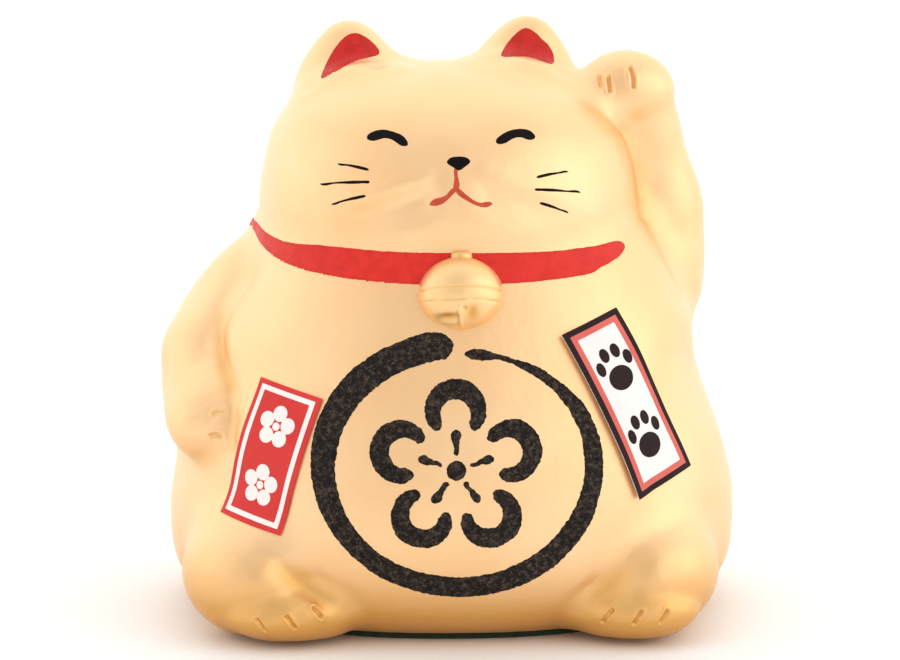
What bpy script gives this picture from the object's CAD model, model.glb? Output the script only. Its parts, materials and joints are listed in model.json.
"""Looks of the beckoning cat savings bank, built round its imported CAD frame.

The castings are blended into one smooth skin, detailed, and parted again into one closed shell per
casting. Marks and labels are thin closed pieces laid on that skin, shaped by their CAD nodes.
"""

import json
from math import cos, pi, radians, sin

import bmesh
import bpy
import numpy as np
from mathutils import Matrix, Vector, noise
from mathutils.bvhtree import BVHTree
from mathutils.kdtree import KDTree


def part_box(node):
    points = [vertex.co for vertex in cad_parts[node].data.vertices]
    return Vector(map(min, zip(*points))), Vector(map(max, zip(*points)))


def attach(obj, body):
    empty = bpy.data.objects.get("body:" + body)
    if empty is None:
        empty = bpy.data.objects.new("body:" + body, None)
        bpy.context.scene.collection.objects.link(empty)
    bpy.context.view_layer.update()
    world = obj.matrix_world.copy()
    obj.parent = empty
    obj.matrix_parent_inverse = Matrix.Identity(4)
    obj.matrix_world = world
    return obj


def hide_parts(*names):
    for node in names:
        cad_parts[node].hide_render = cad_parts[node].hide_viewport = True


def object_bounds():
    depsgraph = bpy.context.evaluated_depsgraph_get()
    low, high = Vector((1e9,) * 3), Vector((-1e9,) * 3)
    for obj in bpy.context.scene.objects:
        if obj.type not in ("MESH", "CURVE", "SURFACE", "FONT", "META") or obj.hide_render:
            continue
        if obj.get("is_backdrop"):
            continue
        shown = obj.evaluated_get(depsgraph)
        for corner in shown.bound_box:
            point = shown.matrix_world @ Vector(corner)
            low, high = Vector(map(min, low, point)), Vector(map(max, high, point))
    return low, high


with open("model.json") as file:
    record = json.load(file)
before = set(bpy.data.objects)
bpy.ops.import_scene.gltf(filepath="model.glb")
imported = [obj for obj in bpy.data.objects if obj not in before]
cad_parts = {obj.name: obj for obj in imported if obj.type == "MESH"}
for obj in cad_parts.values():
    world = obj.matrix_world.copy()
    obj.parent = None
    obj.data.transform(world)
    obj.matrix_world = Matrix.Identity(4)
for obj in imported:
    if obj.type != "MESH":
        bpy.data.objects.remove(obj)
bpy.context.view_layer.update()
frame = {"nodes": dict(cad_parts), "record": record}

MM = 0.001
VOXEL = 1.03 * MM
CELL = 1.0  # scales the grids that marks and labels are laid on
BODY = "figure"
CASTINGS = (
    "torso_shell",
    "head_shell",
    "right_ear",
    "left_ear",
    "raised_arm",
    "lowered_arm",
    "right_foot",
    "left_foot",
    "tail",
)
TORSO, HEAD, RIGHT_EAR, LEFT_EAR, RAISED, LOWERED, RIGHT_FOOT, LEFT_FOOT, TAIL = range(9)
COIN_SLOT = (18 * MM, 2.5 * MM, 1.0 * MM)  # half its width, half its height, its corners' radius
PLUG_HOLE = 15.3 * MM  # radius
WALL_DEPTH = 3.6 * MM  # how thick the hollow castings' shells are
LUTED_DEPTH = 1.2 * MM  # how thick the shells of the smaller castings are
FILM_SINK = -0.3  # how far paint reaches into the skin, in millimetres


# ---------------------------------------------------------------- mesh tools
def arrays(obj):
    """A mesh object's points and triangles."""
    mesh = obj.data
    mesh.calc_loop_triangles()
    points = np.empty(len(mesh.vertices) * 3)
    mesh.vertices.foreach_get("co", points)
    triangles = np.empty(len(mesh.loop_triangles) * 3, np.int64)
    mesh.loop_triangles.foreach_get("vertices", triangles)
    return points.reshape(-1, 3), triangles.reshape(-1, 3)


def tree_of(points, faces):
    return BVHTree.FromPolygons([Vector(p) for p in points], [list(map(int, f)) for f in faces])


def hull(points):
    """The convex hull of some points, as points and triangles."""
    build = bmesh.new()
    for point in points:
        build.verts.new(point)
    found = bmesh.ops.convex_hull(build, input=build.verts)
    spare = [e for e in found["geom_interior"] + found["geom_unused"] if isinstance(e, bmesh.types.BMVert)]
    bmesh.ops.delete(build, geom=list(set(spare)), context="VERTS")
    bmesh.ops.triangulate(build, faces=build.faces)
    build.verts.index_update()
    hull_points = np.array([v.co[:] for v in build.verts])
    triangles = np.array([[v.index for v in f.verts] for f in build.faces])
    build.free()
    return hull_points, triangles


def joined(parts):
    points = []
    faces = []
    start = 0
    for part_points, part_faces in parts:
        points.append(part_points)
        faces.append(part_faces + start)
        start += len(part_points)
    return np.concatenate(points), np.concatenate(faces)


def voxel_union(points, faces, size):
    """One closed skin round overlapping solids, as points and triangles."""
    mesh = bpy.data.meshes.new("rough")
    mesh.from_pydata(points.tolist(), [], faces.tolist())
    rough = bpy.data.objects.new("rough", mesh)
    bpy.context.scene.collection.objects.link(rough)
    modifier = rough.modifiers.new("union", "REMESH")
    modifier.mode = "VOXEL"
    modifier.voxel_size = size
    modifier.adaptivity = 0
    rough.data = bpy.data.meshes.new_from_object(rough.evaluated_get(bpy.context.evaluated_depsgraph_get()))
    rough.modifiers.clear()
    result = arrays(rough)
    bpy.data.objects.remove(rough)
    return result


def edges_of(triangles):
    pairs = np.concatenate([triangles[:, [0, 1]], triangles[:, [1, 2]], triangles[:, [2, 0]]])
    return np.unique(np.sort(pairs, axis=1), axis=0)


def averager(triangles, count):
    """A function that gives each point's mean neighbour."""
    edges = edges_of(triangles)
    ends = np.concatenate([edges[:, 0], edges[:, 1]])
    others = np.concatenate([edges[:, 1], edges[:, 0]])
    degree = np.maximum(np.bincount(ends, minlength=count), 1)

    def mean(values):
        columns = [np.bincount(ends, values[others, i], count) / degree for i in range(values.shape[1])]
        return np.stack(columns, axis=1)

    return mean


def vertex_normals(points, triangles):
    corners = points[triangles]
    facing = np.cross(corners[:, 1] - corners[:, 0], corners[:, 2] - corners[:, 0])
    normals = np.zeros_like(points)
    for corner in range(3):
        for axis in range(3):
            normals[:, axis] += np.bincount(triangles[:, corner], facing[:, axis], len(points))
    return normals / np.maximum(np.linalg.norm(normals, axis=1, keepdims=True), 1e-12)


def refine(points, triangles, wanted):
    """Halves the edges of the wanted triangles, and parts their neighbours to match."""
    split = {}
    points = list(points)
    for triangle in triangles[wanted]:
        for i in range(3):
            key = tuple(sorted((int(triangle[i]), int(triangle[(i + 1) % 3]))))
            if key not in split:
                split[key] = len(points)
                points.append((points[key[0]] + points[key[1]]) / 2)
    touched = np.zeros(len(points), bool)
    touched[np.unique(triangles[wanted])] = True
    nearby = touched[triangles].sum(1) >= 2
    result = [triangles[~nearby]]
    for triangle in triangles[nearby]:
        a, b, c = (int(i) for i in triangle)
        middles = [split.get(tuple(sorted(pair))) for pair in ((a, b), (b, c), (c, a))]
        while middles[0] is None and any(m is not None for m in middles):
            a, b, c = b, c, a
            middles = middles[1:] + middles[:1]
        ab, bc, ca = middles
        if ab is None:
            result.append([[a, b, c]])
        elif bc is None and ca is None:
            result.append([[a, ab, c], [ab, b, c]])
        elif ca is None:
            result.append([[a, ab, c], [ab, b, bc], [ab, bc, c]])
        elif bc is None:
            result.append([[ab, b, c], [a, ab, ca], [ab, c, ca]])
        else:
            result.append([[a, ab, ca], [ab, b, bc], [ca, bc, c], [ab, bc, ca]])
    return np.array(points), np.concatenate([np.array(part) for part in result])


def carve(table, faces, field):
    """The part of a mesh where the field is positive, cut along its zero line.

    table holds each point's place and whatever else belongs to it, one row a point.
    """
    inside = field > 0
    count = inside[faces].sum(1)
    corners = faces.shape[1]
    polygons = [tuple(face) for face in faces[count == corners].tolist()]
    extra = []
    cuts = {}
    for face in faces[(count > 0) & (count < corners)].tolist():
        polygon = []
        for i, a in enumerate(face):
            b = face[(i + 1) % corners]
            if inside[a]:
                polygon.append(a)
            if inside[a] != inside[b]:
                key = (min(a, b), max(a, b))
                if key not in cuts:
                    share = field[key[0]] / (field[key[0]] - field[key[1]])
                    share = min(max(share, 0.02), 0.98)
                    cuts[key] = len(table) + len(extra)
                    extra.append(table[key[0]] + (table[key[1]] - table[key[0]]) * share)
                polygon.append(cuts[key])
        if len(polygon) > 2:
            polygons.append(tuple(polygon))
    whole = np.concatenate([table, np.array(extra).reshape(-1, table.shape[1])])
    used = np.unique(np.fromiter((v for polygon in polygons for v in polygon), np.int64))
    place = np.zeros(len(whole), np.int64)
    place[used] = np.arange(len(used))
    return whole[used], [tuple(int(place[v]) for v in polygon) for polygon in polygons]


def add_piece(name, mesh, material, node, crease=None):
    """Puts a mesh in the scene on the figure, in place of its CAD node."""
    if crease is not None:
        values = mesh.attributes.new("crease", "FLOAT", "POINT")
        values.data.foreach_set("value", np.asarray(crease, np.float32))
    mesh.materials.append(material)
    piece = bpy.data.objects.new(name, mesh)
    bpy.context.scene.collection.objects.link(piece)
    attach(piece, BODY)
    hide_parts(node)


def shell(name, top, bottom, normals, polygons, material, node, crease=None):
    """A closed piece between two matching surfaces, with walls round its rim."""
    count = len(top)
    rim = {}
    for polygon in polygons:
        for i, a in enumerate(polygon):
            rim[(a, polygon[(i + 1) % len(polygon)])] = True
    walls = [(b, a, a + count, b + count) for a, b in rim if (b, a) not in rim]
    under = [tuple(v + count for v in reversed(polygon)) for polygon in polygons]
    points = np.concatenate([top, bottom])
    mesh = bpy.data.meshes.new(name)
    mesh.from_pydata(points.tolist(), [], list(polygons) + under + walls)
    mesh.polygons.foreach_set("use_smooth", [True] * len(mesh.polygons))
    loops = [normals[v] for polygon in polygons for v in polygon]
    loops += [-normals[v - count] for polygon in under for v in polygon]
    for wall in walls:
        across = points[wall[1]] - points[wall[0]]
        facing = np.cross(across, points[wall[3]] - points[wall[0]])
        facing /= max(np.linalg.norm(facing), 1e-12)
        loops += [facing] * 4
    mesh.normals_split_custom_set([tuple(n) for n in loops])
    if crease is not None:
        crease = np.concatenate([crease, crease])
    add_piece(name, mesh, material, node, crease)


def smoothstep(low, high, value):
    share = np.clip((value - low) / (high - low), 0, 1)
    return share * share * (3 - 2 * share)


# ---------------------------------------------------------------- materials
def material_of(name, roughness=0.5, metallic=0.0, gloss=0.3):
    """A new material, its shader, and a helper that adds nodes to it."""
    material = bpy.data.materials.new(name)
    material.use_nodes = True
    tree = material.node_tree
    shader = tree.nodes["Principled BSDF"]
    shader.inputs["Roughness"].default_value = roughness
    shader.inputs["Metallic"].default_value = metallic
    shader.inputs["Specular IOR Level"].default_value = gloss

    def add(kind, **sockets):
        node = tree.nodes.new(kind)
        for socket, value in sockets.items():
            target = node.inputs[socket]
            if isinstance(value, bpy.types.NodeSocket):
                tree.links.new(value, target)
            else:
                target.default_value = value
        return node

    return material, shader, tree, add


def millimetres(tree, add):
    """Object coordinates in millimetres."""
    place = tree.nodes.new("ShaderNodeTexCoord")
    scaled = add("ShaderNodeMapping", Vector=place.outputs["Object"])
    scaled.inputs["Scale"].default_value = (1000, 1000, 1000)
    return scaled.outputs["Vector"]


def speckle(add, where, scale, detail=3.0, rough=0.6):
    made = add("ShaderNodeTexNoise", Vector=where, Scale=scale, Detail=detail, Roughness=rough)
    return made.outputs["Fac"]


def ramp(tree, value, stops):
    made = tree.nodes.new("ShaderNodeValToRGB")
    tree.links.new(value, made.inputs["Fac"])
    elements = made.color_ramp.elements
    while len(elements) < len(stops):
        elements.new(0.5)
    for element, (at, colour) in zip(elements, stops):
        element.position = at
        element.color = (*colour, 1)
    return made.outputs["Color"]


def mixed(tree, share, first, second):
    made = tree.nodes.new("ShaderNodeMix")
    made.data_type = "RGBA"
    for socket, value in ((made.inputs[0], share), (made.inputs[6], first), (made.inputs[7], second)):
        if isinstance(value, bpy.types.NodeSocket):
            tree.links.new(value, socket)
        elif isinstance(value, tuple):
            socket.default_value = (*value, 1)
        else:
            socket.default_value = value
    return made.outputs[2]


def scaled(tree, value, low, high):
    """Maps 0..1 to low..high."""
    made = tree.nodes.new("ShaderNodeMapRange")
    tree.links.new(value, made.inputs[0])
    made.inputs[3].default_value = low
    made.inputs[4].default_value = high
    return made.outputs[0]


def bumped(tree, shader, heights):
    """Chains bumps: (height socket, depth in millimetres)."""
    last = None
    for height, depth in heights:
        bump = tree.nodes.new("ShaderNodeBump")
        bump.inputs["Distance"].default_value = depth * MM
        tree.links.new(height, bump.inputs["Height"])
        if last is not None:
            tree.links.new(last, bump.inputs["Normal"])
        last = bump.outputs["Normal"]
    tree.links.new(last, shader.inputs["Normal"])


GOLD_LIGHT = (0.95, 0.63, 0.35)
GOLD_DEEP = (0.92, 0.56, 0.27)
GOLD_CREASE = (0.70, 0.36, 0.065)


def gold(name, light=GOLD_LIGHT, deep=GOLD_DEEP):
    """Satin gold lacquer: fine metallic grain, slight clouding, darker where it pools in creases."""
    material, shader, tree, add = material_of(name, 0.42, 0.78)
    shader.inputs["Coat Weight"].default_value = 0.3
    shader.inputs["Coat Roughness"].default_value = 0.4
    where = millimetres(tree, add)
    clouds = speckle(add, where, 0.035, 2.0)
    grain = speckle(add, where, 2.6, 4.0, 0.7)
    colour = ramp(tree, clouds, ((0.3, deep), (0.7, light)))
    colour = mixed(tree, scaled(tree, grain, 0.0, 0.22), colour, (1.0, 0.78, 0.45))
    crease = tree.nodes.new("ShaderNodeAttribute")
    crease.attribute_name = "crease"
    colour = mixed(tree, crease.outputs["Fac"], colour, GOLD_CREASE)
    tree.links.new(colour, shader.inputs["Base Color"])
    tree.links.new(scaled(tree, grain, 0.32, 0.50), shader.inputs["Roughness"])
    bumped(tree, shader, ((speckle(add, where, 0.16, 2.0), 0.22), (grain, 0.03)))
    return material


def paint(name, colour, dark, roughness=0.45, depth=0.03, gloss=0.3):
    """Brushed-on paint with slight clouding and brush tooth."""
    material, shader, tree, add = material_of(name, roughness, 0.0, gloss)
    where = millimetres(tree, add)
    clouds = speckle(add, where, 0.35, 3.0)
    tree.links.new(ramp(tree, clouds, ((0.35, dark), (0.62, colour))), shader.inputs["Base Color"])
    tooth = speckle(add, where, 1.8, 3.0)
    tree.links.new(scaled(tree, tooth, roughness - 0.08, roughness + 0.12), shader.inputs["Roughness"])
    bumped(tree, shader, ((tooth, depth),))
    return material


def ink(name):
    """Brush ink: mottled brown and black with dry pale specks."""
    material, shader, tree, add = material_of(name, 0.7, 0.0, 0.15)
    where = millimetres(tree, add)
    mottle = speckle(add, where, 0.9, 5.0, 0.75)
    stops = ((0.38, (0.004, 0.003, 0.003)), (0.50, (0.014, 0.010, 0.009)), (0.64, (0.075, 0.052, 0.036)))
    colour = ramp(tree, mottle, stops)
    specks = ramp(tree, speckle(add, where, 3.2, 2.0), ((0.64, (0, 0, 0)), (0.74, (1, 1, 1))))
    colour = mixed(tree, specks, colour, (0.20, 0.15, 0.10))
    tree.links.new(colour, shader.inputs["Base Color"])
    tree.links.new(scaled(tree, mottle, 0.5, 0.85), shader.inputs["Roughness"])
    bumped(tree, shader, ((mottle, 0.05),))
    return material


def paper(name, colour, dark, roughness=0.55, gloss=0.3):
    """Coated paper: faint fibre and slight tone drift."""
    material, shader, tree, add = material_of(name, roughness, 0.0, gloss)
    where = millimetres(tree, add)
    drift = speckle(add, where, 0.12, 2.0)
    tree.links.new(ramp(tree, drift, ((0.35, dark), (0.65, colour))), shader.inputs["Base Color"])
    fibre = speckle(add, where, 6.0, 3.0)
    bumped(tree, shader, ((fibre, 0.008),))
    return material


def felt(name):
    """Dyed felt: coarse matted fibre with a sheen."""
    material, shader, tree, add = material_of(name, 0.95)
    where = millimetres(tree, add)
    fibre = speckle(add, where, 3.5, 6.0, 0.8)
    colour = ramp(tree, fibre, ((0.35, (0.004, 0.012, 0.004)), (0.65, (0.02, 0.05, 0.018))))
    tree.links.new(colour, shader.inputs["Base Color"])
    shader.inputs["Sheen Weight"].default_value = 0.4
    bumped(tree, shader, ((fibre, 0.25),))
    return material


def soft_plastic(name):
    """Moulded soft plastic with a fine grain."""
    material, shader, tree, add = material_of(name, 0.5)
    where = millimetres(tree, add)
    grain = speckle(add, where, 1.4, 3.0)
    colour = ramp(tree, grain, ((0.3, (0.028, 0.028, 0.03)), (0.7, (0.045, 0.045, 0.048))))
    tree.links.new(colour, shader.inputs["Base Color"])
    tree.links.new(scaled(tree, grain, 0.42, 0.6), shader.inputs["Roughness"])
    bumped(tree, shader, ((grain, 0.04),))
    return material


GOLD = gold("gold_lacquer")
BELL_GOLD = gold("bell_gold", (0.95, 0.66, 0.33), (0.90, 0.58, 0.26))
RED = paint("red_paint", (0.72, 0.026, 0.016), (0.64, 0.018, 0.011))
EAR_RED = paint("ear_red", (0.58, 0.014, 0.008), (0.46, 0.009, 0.005))
BLACK = paint("black_paint", (0.007, 0.005, 0.006), (0.004, 0.003, 0.004), 0.42, 0.03, 0.08)
MOUTH_RED = paint("mouth_red", (0.58, 0.075, 0.035), (0.48, 0.055, 0.025))
INK = ink("brush_ink")
RED_PAPER = paper("red_paper", (0.70, 0.040, 0.035), (0.64, 0.032, 0.028))
WHITE_PAPER = paper("white_paper", (0.92, 0.85, 0.83), (0.88, 0.80, 0.78))
WHITE_PRINT = paper("white_print", (0.95, 0.88, 0.86), (0.92, 0.84, 0.82))
BLACK_PRINT = paper("black_print", (0.030, 0.016, 0.016), (0.022, 0.012, 0.013), 0.6, 0.1)
SALMON_PRINT = paper("salmon_print", (0.70, 0.14, 0.11), (0.66, 0.12, 0.095))
FELT = felt("green_felt")
PLASTIC = soft_plastic("stopper_rubber")


# ---------------------------------------------------------------- the blended skin
def blend_radius(pair, places):
    """How far, in millimetres, two castings flow into each other; places are in millimetres."""
    first, second = sorted(pair)
    x, y, z = places.T
    if (first, second) == (TORSO, HEAD):
        return np.full_like(z, 1.5)
    if (first, second) == (TORSO, RAISED):
        return np.full_like(z, 4.5)
    if (first, second) == (HEAD, RAISED):
        return 2.5 + 6.5 * smoothstep(111, 117, z)
    if (first, second) == (TORSO, LOWERED):
        return 1.8 + 2.2 * smoothstep(72, 82, z)
    if first == TORSO and second in (RIGHT_FOOT, LEFT_FOOT):
        flank = np.maximum(smoothstep(46, 54, np.abs(x)), smoothstep(16, 25, z))
        return 2.4 + 6.5 * flank
    if (first, second) == (TORSO, TAIL):
        return np.full_like(z, 4.0)
    if first == HEAD and second in (RIGHT_EAR, LEFT_EAR):
        return np.full_like(z, 13.0)
    if (first, second) == (LEFT_EAR, RAISED):
        return np.full_like(z, 14.0)
    return np.full_like(z, 2.5)


def outermost(points, triangles):
    """The outer closed surface alone, without the cavity's."""
    edges = edges_of(triangles)
    label = np.arange(len(points))
    settled = False
    while not settled:
        least = np.minimum(label[edges[:, 0]], label[edges[:, 1]])
        update = label.copy()
        np.minimum.at(update, edges[:, 0], least)
        np.minimum.at(update, edges[:, 1], least)
        update = update[update]
        settled = (update == label).all()
        label = update
    outer = label == label[points[:, 2].argmax()]
    place = np.cumsum(outer) - 1
    return points[outer], place[triangles[outer[triangles[:, 0]]]]


def slot_middle():
    """The height of the coin slot in the back."""
    low, high = next(o for o in frame["record"]["physics"]["openings"] if o["name"] == "coin_slot")["box_m"]
    return (low[2] + high[2]) / 2


def stoppings():
    """Solids that close the coin slot and the plug hole, so that the cavity is shut off."""
    torso = tree_of(*arrays(frame["nodes"]["torso_shell"]))
    behind_slot = []
    for x in np.linspace(-19, 19, 9) * MM:
        for rise in (-3.4 * MM, 3.4 * MM):
            place = torso.ray_cast((x, 0.2, slot_middle() + rise), (0, -1, 0))[0]
            behind_slot += [np.array(place) - (0, depth * MM, 0) for depth in (0.7, 2.6)]
    plug = arrays(frame["nodes"]["stopper"])[0] * (1.12, 1.12, 1)
    plug[:, 2] = np.maximum(plug[:, 2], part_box("felt_pad")[1].z)  # no lower than the casting's underside
    return [hull(np.array(behind_slot)), hull(plug)]


def blended_skin():
    """The castings' common skin, and each point's casting."""
    solids = [arrays(frame["nodes"][name]) for name in CASTINGS]
    points, triangles = outermost(*voxel_union(*joined(solids + stoppings()), VOXEL))
    trees = [tree_of(*solid) for solid in solids]
    reach = 12 * MM
    distances = np.full((len(points), len(solids)), reach)
    for column, (solid_points, _) in enumerate(solids):
        low = solid_points.min(0) - reach
        high = solid_points.max(0) + reach
        for row in np.nonzero(((points > low) & (points < high)).all(1))[0]:
            hit = trees[column].find_nearest(points[row], reach)
            if hit[3] is not None:
                distances[row, column] = hit[3]
    owner = distances.argmin(1)
    weight = np.zeros(len(points))
    for other in range(len(solids)):
        for mine in range(len(solids)):
            if other != mine:
                radius = blend_radius((mine, other), points / MM) * MM
                close = 1 - smoothstep(0.35 * radius, radius, distances[:, other])
                weight = np.where(owner == mine, np.maximum(weight, close), weight)
    mean = averager(triangles, len(points))
    for step in range(int(110 * (MM / VOXEL) ** 2)):
        if step % 6 == 0:
            normals = vertex_normals(points, triangles)
        move = (0.5 * weight)[:, None] * (mean(points) - points)
        inward = np.minimum((move * normals).sum(1), 0)
        points += move - 0.9 * inward[:, None] * normals
    for _ in range(14):
        points += 0.5 * (mean(points) - points)
        points -= 0.52 * (mean(points) - points)
    return points, triangles, owner


skin, skin_faces, owner = blended_skin()


def build_camera_and_light():
    """The studio: camera, a white surround, soft lights and a pale floor."""
    scene = bpy.context.scene
    scene.view_settings.view_transform = "Standard"
    azimuth, elevation, distance = radians(-2), radians(8), 0.650
    aim = Vector((-0.35 * MM, 0, 62.7 * MM))
    back = Vector((sin(azimuth) * cos(elevation), -cos(azimuth) * cos(elevation), sin(elevation)))
    camera = bpy.data.objects.new("camera", bpy.data.cameras.new("camera"))
    camera.data.sensor_width = 36
    camera.data.lens = 111.6
    camera.location = aim + back * distance
    camera.rotation_euler = back.to_track_quat("Z", "Y").to_euler()
    scene.collection.objects.link(camera)
    scene.camera = camera

    world = bpy.data.worlds.new("surround")
    world.use_nodes = True
    nodes = world.node_tree.nodes
    background = nodes["Background"]
    background.inputs["Color"].default_value = (1.0, 0.985, 0.965, 1)
    direction = nodes.new("ShaderNodeTexCoord")
    away = nodes.new("ShaderNodeVectorMath")
    away.operation = "DOT_PRODUCT"
    away.inputs[1].default_value = (0, 1, -0.2)
    strength = nodes.new("ShaderNodeMapRange")
    strength.inputs["From Min"].default_value = -0.95
    strength.inputs["From Max"].default_value = 0.15
    strength.inputs["To Min"].default_value = 0.69
    strength.inputs["To Max"].default_value = 1.42
    world.node_tree.links.new(direction.outputs["Generated"], away.inputs[0])
    world.node_tree.links.new(away.outputs["Value"], strength.inputs["Value"])
    world.node_tree.links.new(strength.outputs["Result"], background.inputs["Strength"])
    scene.world = world

    for name, direction, spread, power, colour in (
        ("key", (0.95, -0.70, 0.28), 75, 0.85, (1.0, 0.98, 0.96)),
        ("fill", (-1.0, -0.60, 0.15), 80, 0.28, (1.0, 0.97, 0.93)),
    ):
        light = bpy.data.lights.new(name, "SUN")
        light.angle = radians(spread)
        light.energy = power
        light.color = colour
        lamp = bpy.data.objects.new(name, light)
        lamp.rotation_euler = Vector(direction).to_track_quat("Z", "Y").to_euler()
        scene.collection.objects.link(lamp)

    mesh = bpy.data.meshes.new("floor")
    reach = 30.0
    corners = [(-reach, -reach, 0), (reach, -reach, 0), (reach, reach, 0), (-reach, reach, 0)]
    mesh.from_pydata(corners, [], [(0, 1, 2, 3)])
    floor = bpy.data.objects.new("floor", mesh)
    material, shader, _, _ = material_of("floor", 0.6)
    shader.inputs["Base Color"].default_value = (0.96, 0.96, 0.96, 1)
    mesh.materials.append(material)
    scene.collection.objects.link(floor)
    floor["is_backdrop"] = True


build_camera_and_light()


# ---------------------------------------------------------------- detail in the skin
# Modelled lines on the front: node, places as shares of its box across and up, how deep the line is
# cut (below zero, how far it stands proud) and its half width, in millimetres.
FINE_LINES = (
    ("raised_arm", ((0.151, 0.906), (0.158, 0.875)), 0.35, 0.4),
    ("raised_arm", ((0.190, 0.932), (0.193, 0.881)), -0.3, 0.5),
    ("raised_arm", ((0.219, 0.906), (0.225, 0.859)), 0.5, 0.4),
    ("raised_arm", ((0.350, 0.929), (0.354, 0.884)), -0.25, 0.5),
    ("raised_arm", ((0.379, 0.940), (0.399, 0.906), (0.399, 0.873)), 0.6, 0.4),
    ("lowered_arm", ((0.600, 0.240), (0.650, 0.252), (0.700, 0.248)), 0.30, 0.5),
    ("lowered_arm", ((0.590, 0.143), (0.640, 0.149), (0.690, 0.143)), 0.30, 0.5),
    ("right_foot", ((0.442, 0.229), (0.481, 0.141)), 0.5, 0.4),
    ("right_foot", ((0.606, 0.260), (0.647, 0.164)), 0.5, 0.4),
    ("right_foot", ((0.754, 0.328), (0.795, 0.248)), 0.5, 0.4),
    ("left_foot", ((0.258, 0.300), (0.203, 0.190)), 0.45, 0.4),
    ("left_foot", ((0.438, 0.296), (0.397, 0.190)), 0.5, 0.4),
    ("left_foot", ((0.603, 0.292), (0.565, 0.202)), 0.45, 0.4),
)
ARM_EDGE = (
    (0.696, 0.692),
    (0.659, 0.552),
    (0.710, 0.409),
    (0.780, 0.318),
    (0.818, 0.220),
    (0.799, 0.116),
    (0.654, 0.047),
)
# Broad forms, given the same way: fills where the ears meet the head, the lowered arm's edge, creases at
# the haunches, hollows behind the toes, and the knees.
BROAD_FORMS = (
    ("right_ear", ((0.15, 0.14), (0.45, 0.30), (0.80, 0.38)), -2.3, 4.6),
    ("left_ear", ((0.20, 0.30), (0.60, 0.20), (0.85, 0.10)), -2.3, 4.6),
    ("lowered_arm", ARM_EDGE, 0.55, 1.8),
    ("right_foot", ((0.483, 0.710), (0.621, 0.595), (0.788, 0.435), (0.926, 0.347)), 1.0, 2.4),
    ("left_foot", ((0.438, 0.700), (0.310, 0.593), (0.188, 0.455), (0.081, 0.308)), 0.9, 2.4),
    ("right_foot", ((0.430, 0.385), (0.540, 0.351), (0.640, 0.363)), 0.35, 3.2),
    ("left_foot", ((0.180, 0.352), (0.264, 0.372), (0.380, 0.399)), 0.3, 3.2),
    ("right_foot", ((0.500, 0.530), (0.520, 0.500)), -0.9, 3.4),
    ("left_foot", ((0.500, 0.500), (0.499, 0.462)), -0.5, 3.2),
)
# How far the sides are moved in, or out below zero: the height's share, then millimetres on the cat's
# right and left.
FLANKS = (
    (0.96, 0.0, 0.0),
    (0.90, -0.7, 0.0),
    (0.865, -1.3, 0.0),
    (0.82, -0.9, 0.0),
    (0.77, 0.3, 0.0),
    (0.67, 0.0, 0.0),
    (0.64, 0.7, 0.4),
    (0.60, 3.0, 0.0),
    (0.565, 2.7, 0.2),
    (0.53, 0.6, -0.6),
    (0.495, -0.9, -0.7),
    (0.46, -1.0, 0.7),
    (0.43, 0.25, 1.8),
    (0.395, 0.2, 2.0),
    (0.36, -0.9, 2.2),
    (0.325, -0.7, 1.7),
    (0.255, 1.2, 1.1),
    (0.22, 0.6, 0.2),
    (0.18, 0.0, 0.0),
)
# The muzzle's upper edge on each side of the face, as shares of the head's box, and its depth.
MUZZLE = (
    (((0.486, 0.451), (0.403, 0.377), (0.291, 0.294), (0.179, 0.225)), 1.25),
    (((0.528, 0.451), (0.611, 0.390), (0.719, 0.314), (0.811, 0.252)), 0.6),
)


def in_box(node, shares):
    """Places across and up inside a node's box, from shares of its size."""
    low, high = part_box(node)
    return [(low.x + u * (high.x - low.x), low.z + w * (high.z - low.z)) for u, w in shares]


def on_front(tree, places):
    """Lifts places across and up onto the front of the skin."""
    return [np.array(tree.ray_cast((x, -0.1, z), (0, 1, 0))[0]) for x, z in places]


def line_distance(points, line):
    away = np.full(len(points), 1.0)
    for start, end in zip(line, line[1:]):
        along = end - start
        share = np.clip((points - start) @ along / (along @ along), 0, 1)
        away = np.minimum(away, np.linalg.norm(points - start - share[:, None] * along, axis=1))
    return away


def muzzle_rise(points, owner):
    """The cheeks tuck in under a soft edge that falls away from the nose."""
    rise = np.zeros(len(points))
    front = (owner == HEAD) & (points[:, 1] < -20 * MM)
    for shares, depth in MUZZLE:
        places = in_box("head_shell", shares)
        xs = np.array([x for x, _ in places])
        zs = np.array([z for _, z in places])
        order = xs.argsort()
        edge = np.interp(points[:, 0], xs[order], zs[order])
        below = (edge - points[:, 2]) / MM
        tuck = smoothstep(-1.2, 3.2, below) * (1 - smoothstep(3.2, 10.5, below))
        lip = np.exp(-((below + 1.6) / 2.2) ** 2)
        inner, outer = sorted(np.abs(xs[[0, -1]]) / MM)
        reach = np.abs(points[:, 0]) / MM
        side = (points[:, 0] > 0) == (xs.mean() > 0)
        span = smoothstep(inner + 0.5, inner + 6, reach) * (1 - smoothstep(outer - 9, outer + 2, reach))
        rise += np.where(front & side, (0.3 * lip - tuck) * depth * span, 0)
    return rise


def pare_flanks(points):
    """Moves the sides of the body in or out, leaving the front and back alone."""
    heights, right, left = np.array(FLANKS[::-1]).T
    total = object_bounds()[1][2]
    moved = points.copy()
    for side, trims in ((-1, right), (1, left)):
        trim = np.zeros(len(points))
        for drift in (-2.5, 0, 2.5):
            trim += np.interp((points[:, 2] + drift * MM) / total, heights, trims) / 3
        narrower = smoothstep(100, 112, points[:, 2] / MM)
        share = smoothstep(0, 1, (side * points[:, 0] / MM - 33 + 14 * narrower) / (17 - narrower))
        moved[:, 0] -= side * trim * share * MM
    return moved


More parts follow.
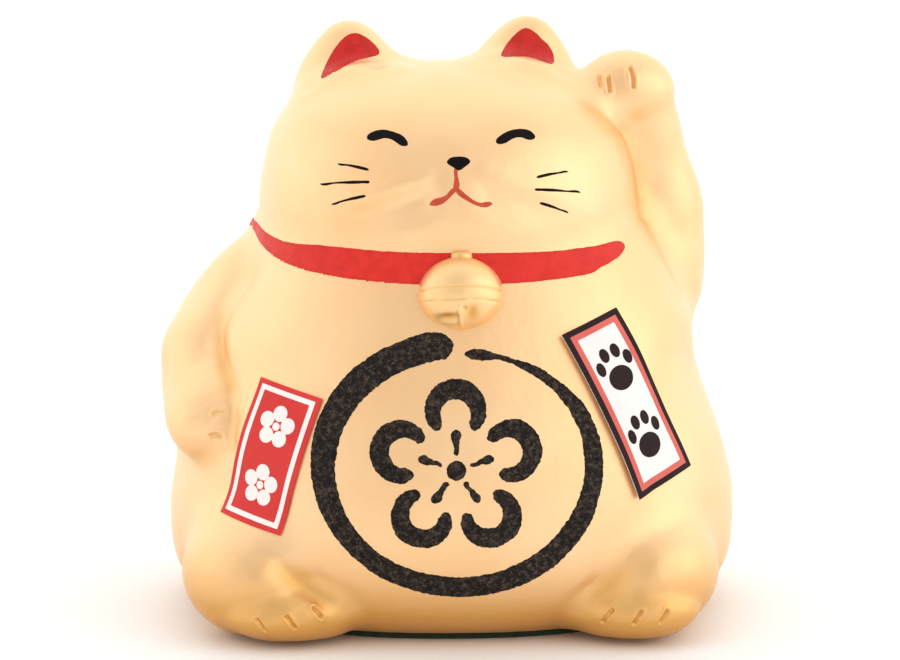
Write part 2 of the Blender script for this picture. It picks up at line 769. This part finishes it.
def detailed_skin(points, triangles, owner):
    """Finer triangles round the modelled lines, then lines, haunches and muzzle cut into the skin."""
    tree = tree_of(points, triangles)
    fine, broad = (
        [(on_front(tree, in_box(node, shares)), depth, width) for node, shares, depth, width in lines]
        for lines in (FINE_LINES, BROAD_FORMS)
    )
    for reach in (4.0, 2.6, 1.7):
        nearest = np.full(len(points), 1.0)
        for line, _, _ in fine:
            nearest = np.minimum(nearest, line_distance(points, line))
        wanted = (nearest[triangles] < reach * MM).all(1)
        count = len(points)
        points, triangles = refine(points, triangles, wanted)
        owner = np.concatenate([owner, np.full(len(points) - count, -1)])
        for triangle in triangles[(triangles >= count).any(1)]:
            known = [v for v in triangle if owner[v] >= 0]
            if known:
                owner[triangle[owner[triangle] < 0]] = owner[known[0]]
    mean = averager(triangles, len(points))
    local = np.full(len(points), 1.0)
    for line, _, _ in fine:
        local = np.minimum(local, line_distance(points, line))
    local = 1 - smoothstep(3 * MM, 5 * MM, local)
    for _ in range(16):
        points += (0.4 * local)[:, None] * (mean(points) - points)

    normals = vertex_normals(points, triangles)
    rise = muzzle_rise(points, owner)
    crease = np.zeros(len(points))
    for line, depth, width in broad:
        valley = np.exp(-((line_distance(points, line) / (width * MM)) ** 2))
        ends = np.minimum(np.linalg.norm(points - line[0], axis=1), np.linalg.norm(points - line[-1], axis=1))
        valley *= 0.35 + 0.65 * smoothstep(0, 6 * MM, ends)
        rise -= depth * valley
        crease = np.maximum(crease, 0.45 * min(max(depth, 0), 1) * valley)
    for line, depth, width in fine:
        away = line_distance(points, line) / (width * MM)
        rise -= depth * np.exp(-(away**2))
        if depth > 0:
            rise += 0.25 * depth * np.exp(-((away - 2.0) ** 2))
            crease = np.maximum(crease, 0.45 * np.exp(-((away / 1.1) ** 2)))
    points = points + normals * (rise * MM)[:, None]

    normals = vertex_normals(points, triangles)
    hollow = ((mean(points) - points) * normals).sum(1) * MM / VOXEL**2
    hollow[local > 0.01] = 0
    for _ in range(8):
        hollow = mean(hollow[:, None])[:, 0]
    narrow = smoothstep(0.010, 0.065, hollow)
    for _ in range(60):
        hollow = mean(hollow[:, None])[:, 0]
    wide = smoothstep(0.002, 0.03, hollow)
    across, _, height = points.T / MM
    calm = 1 - 0.75 * smoothstep(102, 109, height) * (1 - smoothstep(29, 35, np.abs(across)))
    under = 0.6 * smoothstep(0.1, 0.95, -normals[:, 2]) + 0.5 * (1 - smoothstep(1, 26, height))
    toes = ((owner == RIGHT_FOOT) | (owner == LEFT_FOOT)).astype(float)
    for _ in range(12):
        toes = mean(toes[:, None])[:, 0]
    under = np.clip(under + 0.3 * toes * (1 - smoothstep(8, 30, height)), 0, 0.85)
    tone = 1 - (1 - 0.75 * narrow * calm) * (1 - 0.55 * wide * calm) * (1 - under)
    return points, triangles, owner, 1 - (1 - crease) * (1 - tone)


skin, skin_faces, owner, crease = detailed_skin(pare_flanks(skin), skin_faces, owner)
skin_normals = vertex_normals(skin, skin_faces)
skin_tree = tree_of(skin, skin_faces)


# ---------------------------------------------------------------- one closed shell per casting
def rounded_box_distance(across, up, half_width, half_height, corner):
    """Distance in the plane from a rounded rectangle's outline, negative inside."""
    dx = np.abs(across) - (half_width - corner)
    dz = np.abs(up) - (half_height - corner)
    outside = np.hypot(np.maximum(dx, 0), np.maximum(dz, 0))
    return outside + np.minimum(np.maximum(dx, dz), 0) - corner


def build_castings():
    plug_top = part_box("stopper")[1].z
    table = np.column_stack([skin, skin_normals, crease])
    majority = np.sort(owner[skin_faces], axis=1)[:, 1]
    for index, name in enumerate(CASTINGS):
        faces = skin_faces[majority == index]
        field = np.full(len(skin), 1.0)
        depth = LUTED_DEPTH
        if index == TORSO:
            slot = rounded_box_distance(skin[:, 0], skin[:, 2] - slot_middle(), *COIN_SLOT)
            behind = skin[:, 1] > 0
            hole = np.hypot(skin[:, 0], skin[:, 1]) - PLUG_HOLE
            under = skin[:, 2] < plug_top
            field = np.where(behind, slot, 1.0)
            field = np.where(under, np.minimum(field, hole), field)
        if index in (TORSO, HEAD):
            depth = WALL_DEPTH
        values, polygons = carve(table, faces, field)
        top = values[:, :3]
        normals = values[:, 3:6]
        normals = normals / np.linalg.norm(normals, axis=1, keepdims=True)
        bottom = top - normals * depth
        shell(f"{name}.skin", top, bottom, normals, polygons, GOLD, name, values[:, 6])


build_castings()


# ---------------------------------------------------------------- marks and labels laid on the skin
def smooth_normal(point, face):
    """The skin's blended normal at a point on one of its triangles."""
    corners = skin_faces[face]
    a, b, c = skin[corners]
    area = np.cross(b - a, c - a)
    square = max(area @ area, 1e-20)
    point = np.array(point)
    second = np.clip(np.cross(point - a, c - a) @ area / square, 0, 1)
    third = np.clip(np.cross(b - a, point - a) @ area / square, 0, 1)
    normal = skin_normals[corners[0]] * (1 - second - third)
    normal = normal + skin_normals[corners[1]] * second + skin_normals[corners[2]] * third
    return normal / np.linalg.norm(normal)


def from_front(places):
    """Places across and up, as the front shows them, and the way the front faces."""
    return places[:, [0, 2]], np.tile((0.0, -1.0, 0.0), (len(places), 1))


def round_neck(places):
    """Places unrolled round the neck, and the way out from its axis."""
    along = np.arctan2(places[:, 0], -places[:, 1]) * 50 * MM
    outward = places * (1, 1, 0)
    outward /= np.linalg.norm(outward, axis=1, keepdims=True)
    return np.column_stack([along, places[:, 2]]), outward


def film_field(node, points, flatten):
    """How far each surface point lies inside the outline of a CAD film, negative outside."""
    film, faces = arrays(frame["nodes"][node])
    film_tree = tree_of(film, faces)
    _, first, weld = np.unique(np.round(film / MM, 3), axis=0, return_index=True, return_inverse=True)
    corners = film[faces]
    facing = np.cross(corners[:, 1] - corners[:, 0], corners[:, 2] - corners[:, 0])
    lean = (facing * flatten(corners.mean(1))[1]).sum(1)
    front = weld.ravel()[faces[lean > 0.06 * np.linalg.norm(facing, axis=1)]]
    edges = np.sort(np.concatenate([front[:, [0, 1]], front[:, [1, 2]], front[:, [2, 0]]]), axis=1)
    edges, uses = np.unique(edges, axis=0, return_counts=True)
    outline = flatten(film[first])[0][edges[uses == 1]]
    spots = []
    for start, end in outline:
        length = np.linalg.norm(end - start)
        if length < 60 * MM:
            shares = np.linspace(0, 1, int(length / (0.04 * MM)) + 2)[:, None]
            spots.append(start + (end - start) * shares)
    spots = np.concatenate(spots)
    rim = KDTree(len(spots))
    for i, (u, w) in enumerate(spots):
        rim.insert((u, w, 0), i)
    rim.balance()
    flat, directions = flatten(points)
    field = np.empty(len(points))
    for i, (point, direction) in enumerate(zip(points, directions)):
        hit = film_tree.ray_cast(point + direction * 5 * MM, -direction, 10 * MM)[0]
        away = rim.find((flat[i][0], flat[i][1], 0))[2]
        field[i] = -away if hit is None else away
    return np.clip(field, -MM, MM)


def sheet_over(middle, facing, low, high, cell):
    """The skin under a rectangle that faces a direction, as a fine grid: flat places, points, normals, quads.

    low and high are the rectangle's corners, across and up from its middle.
    """
    across = np.cross((0, 0, 1), facing)
    across /= np.linalg.norm(across)
    up = np.cross(facing, across)
    columns = int(np.ceil((high[0] - low[0]) / cell)) + 1
    rows = int(np.ceil((high[1] - low[1]) / cell)) + 1
    places_across = np.linspace(low[0], high[0], columns)
    flat = np.array([(u, w) for w in np.linspace(low[1], high[1], rows) for u in places_across])
    points = np.full((len(flat), 3), np.nan)
    normals = np.tile(np.array(facing, float), (len(flat), 1))
    starts = middle + facing * 30 * MM + flat[:, :1] * across + flat[:, 1:] * up
    for i, start in enumerate(starts):
        hit = skin_tree.ray_cast(start, -facing)
        if hit[0] is not None:
            points[i] = hit[0]
            normals[i] = smooth_normal(hit[0], hit[2])
    first = (np.arange(rows - 1)[:, None] * columns + np.arange(columns - 1)[None]).ravel()
    quads = np.column_stack([first, first + 1, first + columns + 1, first + columns])
    seen = ~np.isnan(points[:, 0])
    points[~seen] = 0
    return flat, points, normals, quads[seen[quads].all(1)]


def ragged(points, size, seed):
    """Uneven brush edges: smooth noise at the given size in millimetres, from -1 to 1."""
    shift = Vector((seed * 7.3, seed * 3.1, seed * 5.7))
    return np.array([noise.noise(Vector(p) / (size * MM) + shift) for p in points])


def film_piece(name, node, points, normals, faces, field, top, bottom, material):
    """A thin closed piece over the part of a surface where the field is positive.

    top and bottom are heights above the surface in millimetres, one for each point.
    """
    table = np.column_stack([points, normals, top, bottom])
    values, polygons = carve(table, faces, field)
    facing = values[:, 3:6] / np.linalg.norm(values[:, 3:6], axis=1, keepdims=True)
    upper = values[:, :3] + facing * values[:, 6:7] * MM
    lower = values[:, :3] + facing * values[:, 7:8] * MM
    shell(name, upper, lower, facing, polygons, material, node)


def lay_mark(node, material, cell, thick, rough=0.0, grain=1.0, seed=1, lobes=0.0):
    """Paint on the front of the skin, with its CAD film's outline made uneven."""
    low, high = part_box(node)
    middle = (np.array(low) + np.array(high)) / 2
    half = (np.array(high) - np.array(low))[[0, 2]] / 2 + 0.6 * MM
    _, points, normals, quads = sheet_over(middle, np.array((0.0, -1.0, 0.0)), -half, half, cell * MM)
    field = film_field(node, points, from_front)
    if rough:
        field += rough * MM * (ragged(points, grain, seed) + 0.6 * ragged(points, grain / 2.7, seed + 1))
    if lobes:
        field += lobes * MM * ragged(points, 6.0, seed + 2)
    top = thick * smoothstep(-0.1, 0.35, field / MM)
    bottom = np.full(len(top), FILM_SINK)
    film_piece(f"{node}.paint", node, points, normals, quads, field, top, bottom, material)


# How far the collar's tip on the cat's right is lowered: millimetres from its end, and the drops there.
TIP_DROP = ((0, 2.2, 5, 9, 13.5, 18, 25), (1.4, 1.6, 2.2, 2.2, 1.3, 0.5, 0))


def lay_collar():
    """The painted band, on the skin's own triangles made finer; it runs on behind the bell."""
    low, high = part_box("collar_band")
    margin = 1.5 * MM
    inside = ((skin > np.array(low) - margin) & (skin < np.array(high) + margin)).all(1)
    near = skin_faces[inside[skin_faces].all(1)]
    used, local = np.unique(near, return_inverse=True)
    table, faces = skin[used], local.reshape(-1, 3)
    for _ in range(2):
        table, faces = refine(table, faces, np.ones(len(faces), bool))
    normals = np.empty_like(table)
    for i, point in enumerate(table):
        hit = skin_tree.find_nearest(point)
        normals[i] = smooth_normal(hit[0], hit[2])
    field = film_field("collar_band", table, round_neck)
    front = table[:, 1] < 0
    bell_low, bell_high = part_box("bell")
    sides = (bell_low.x - 1.2 * MM, bell_high.x + 1.2 * MM)
    lower = []
    upper = []
    for side in sides:
        edge = front & (np.abs(table[:, 0] - side) < MM) & (np.abs(field) < 0.5 * MM)
        height = table[edge, 2]
        top_edge = height > height.mean()
        lower.append((height - field[edge])[~top_edge].mean())
        upper.append((height + field[edge])[top_edge].mean())
    behind = front & (table[:, 0] > sides[0]) & (table[:, 0] < sides[1])
    across, height = table[behind, 0], table[behind, 2]
    band = np.minimum(height - np.interp(across, sides, lower), np.interp(across, sides, upper) - height)
    field[behind] = np.clip(band, -MM, MM)
    tip = table[:, 0] < low.x + 25 * MM
    drop = MM * np.interp((table[tip, 0] - low.x) / MM, *TIP_DROP)
    lowered = film_field("collar_band", table[tip] + drop[:, None] * (0, 0, 1), round_neck)
    field[tip] = np.minimum(field[tip], lowered)
    mean = averager(faces, len(table))
    for _ in range(16):
        field = mean(field[:, None])[:, 0]
    field += 0.05 * MM * ragged(table, 2.5, 21)
    top = 0.28 * smoothstep(-0.05, 0.5, field / MM)
    bottom = np.full(len(top), FILM_SINK)
    name = "collar_band"
    film_piece(f"{name}.paint", name, table, normals, faces, field, top, bottom, RED)


def lay_label(layers, lifted_side, lift):
    """A paper label and its prints; one long edge stands a little off the body.

    layers are (node, material, slot, height of its top above the skin), paper first.
    """
    points, triangles = arrays(frame["nodes"][layers[0][0]])
    corners = points[triangles]
    areas = np.cross(corners[:, 1] - corners[:, 0], corners[:, 2] - corners[:, 0])
    middle = (points.min(0) + points.max(0)) / 2
    outward = areas @ np.array((middle[0], middle[1], 0)) > 0
    facing = areas[outward].sum(0)
    facing /= np.linalg.norm(facing)
    across = np.cross((0, 0, 1), facing)
    across /= np.linalg.norm(across)
    up = np.cross(facing, across)
    spread = np.column_stack([(points - middle) @ across, (points - middle) @ up])
    low, high = spread.min(0) - 0.6 * MM, spread.max(0) + 0.6 * MM
    flat, places, normals, quads = sheet_over(middle, facing, low, high, 0.17 * CELL * MM)

    def face_on(spots):
        return np.column_stack([spots @ across, spots @ up]), np.tile(facing, (len(spots), 1))

    paper = None
    for node, material, slot, height in layers:
        field = film_field(node, places, face_on)
        if paper is None:
            inside = flat[field > 0]
            tilt = np.polyfit(inside[:, 1], inside[:, 0], 1)[0]
            aside = (flat[:, 0] - tilt * flat[:, 1]) * lifted_side
            edge = np.percentile(aside[field > 0], 98)
            rise = lift * smoothstep(-6.5, 0, (aside - edge) / MM)
            paper = height
            thickness = 0.28
        else:
            thickness = height - paper + 0.04
        top = height + rise
        film_piece(f"{node}.sheet", node, places, normals, quads, field, top, top - thickness, material)


lay_mark("eyes", BLACK, 0.13 * CELL, 0.10, 0.03, 0.9, 3)
lay_mark("nose", BLACK, 0.13 * CELL, 0.12, 0.03, 0.9, 4)
lay_mark("mouth", MOUTH_RED, 0.11 * CELL, 0.09, 0.05, 0.7, 5)
lay_mark("whiskers", BLACK, 0.11 * CELL, 0.07, 0.03, 0.8, 6)
lay_mark("ear_linings", EAR_RED, 0.22 * CELL, 0.12, 0.08, 1.2, 7)
lay_mark("belly_ring", INK, 0.25 * CELL, 0.12, 0.20, 0.8, 8, 0.22)
lay_mark("belly_blossom", INK, 0.25 * CELL, 0.12, 0.20, 0.8, 9, 0.22)
lay_collar()
lay_label(
    (
        ("red_label", RED_PAPER, "red_paper", 0.30),
        ("red_label_print", WHITE_PRINT, "white_print", 0.36),
    ),
    1,
    0.35,
)
lay_label(
    (
        ("white_label", WHITE_PAPER, "white_paper", 0.30),
        ("white_label_border", BLACK_PRINT, "black_print", 0.36),
        ("white_label_trim", SALMON_PRINT, "salmon_print", 0.36),
        ("white_label_print", BLACK_PRINT, "black_print", 0.36),
    ),
    -1,
    1.0,
)


# ---------------------------------------------------------------- bell
def closed_rings(name, rings, tone, material, node):
    """A closed piece lofted through equal rings of points, with a fan at each end."""
    count = len(rings[0])
    points = [point for ring in rings for point in ring]
    faces = []
    for level in range(len(rings) - 1):
        for i in range(count):
            a = level * count + i
            b = level * count + (i + 1) % count
            faces.append((a, b, b + count, a + count))
    for level, order in ((0, -1), (len(rings) - 1, 1)):
        ring = list(range(level * count, (level + 1) * count))
        points.append(np.mean([points[v] for v in ring], axis=0))
        tone = np.append(tone, 0.0)
        for i in range(count):
            a, b = ring[i], ring[(i + 1) % count]
            faces.append((a, b, len(points) - 1) if order > 0 else (b, a, len(points) - 1))
    mesh = bpy.data.meshes.new(name)
    mesh.from_pydata([tuple(p) for p in points], [], faces)
    mesh.polygons.foreach_set("use_smooth", [True] * len(mesh.polygons))
    add_piece(name, mesh, material, node, tone)


def hump(value, middle, width):
    return np.exp(-(((value - middle) / width) ** 2))


def bell_relief(x, z):
    """Height in millimetres of the bell's worn modelling, x across and z up from its middle.

    Two faint grooves round it, and a slit left as a raised bar between two hollows, with an eye on top.
    """
    waver = 0.75 + 0.25 * np.cos(1.9 * x)
    rise = -0.20 * hump(z, 2.9 - 0.02 * x**2, 0.28) - 0.20 * waver * hump(z, 0.2 - 0.02 * x**2, 0.30)
    rise -= 0.55 * hump(x, -2.9, 2.2) * hump(z, -4.2 + 0.12 * (x + 2.9), 1.0)
    rise -= 0.60 * hump(x, 2.5, 1.25) * hump(z, -3.3, 2.1)
    rise -= 0.45 * hump(x, 0.75, 0.42) * hump(z, -2.0, 0.5)
    bar = smoothstep(-6.9, -6.2, z) * (1 - smoothstep(-1.8, -1.2, z))
    rise += 0.50 * bar * hump(x, -0.55 - 0.14 * z - 0.35, 0.45)
    return rise


def build_bell():
    low, high = (np.array(corner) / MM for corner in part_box("bell"))
    half = (high[0] - low[0]) / 2
    size = np.array((half, 0.774 * half, 0.892 * half))
    centre = np.array(((low[0] + high[0]) / 2, low[1] + size[1], high[2] - size[2]))
    rings = []
    tone = []
    around = 240
    for level in np.linspace(-0.985, 0.985, 150):
        rise = level * pi / 2
        ring = []
        for turn in 2 * pi * np.arange(around) / around:
            direction = np.array((cos(rise) * cos(turn), cos(rise) * sin(turn), sin(rise)))
            place = direction * size
            relief = 0.0
            if direction[1] < 0:
                relief = float(bell_relief(place[0], place[2])) * smoothstep(0, 0.35, -direction[1])
            outward = direction / size
            outward /= np.linalg.norm(outward)
            ring.append((centre + place + outward * relief) * MM)
            tone.append(min(max(-relief, 0) / 0.55, 1) * 0.85)
        rings.append(ring)
    closed_rings("bell.cast", rings, np.array(tone), BELL_GOLD, "bell")


def build_lug():
    """The bell's stub of a neck, wider where it meets the dome."""
    low, high = (np.array(corner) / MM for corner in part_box("bell_lug"))
    middle = (low + high) / 2
    foot = high[2] - 4.2
    rings = []
    for share, width in ((0.0, 1.45), (0.3, 1.2), (0.6, 1.0), (0.85, 0.94), (0.96, 0.8), (1.0, 0.5)):
        ring = []
        for turn in 2 * pi * np.arange(40) / 40:
            x = middle[0] + 2.45 * width * cos(turn)
            y = middle[1] + 1.9 * width * sin(turn) + 0.3
            ring.append(np.array((x, y, foot + (high[2] - foot) * share)) * MM)
        rings.append(ring)
    closed_rings("bell_lug.cast", rings, np.full(40 * len(rings), 0.25), BELL_GOLD, "bell_lug")


build_bell()
build_lug()

for node, material in (("felt_pad", FELT), ("stopper", PLASTIC)):
    mesh = frame["nodes"][node].data
    mesh.materials.clear()
    mesh.materials.append(material)
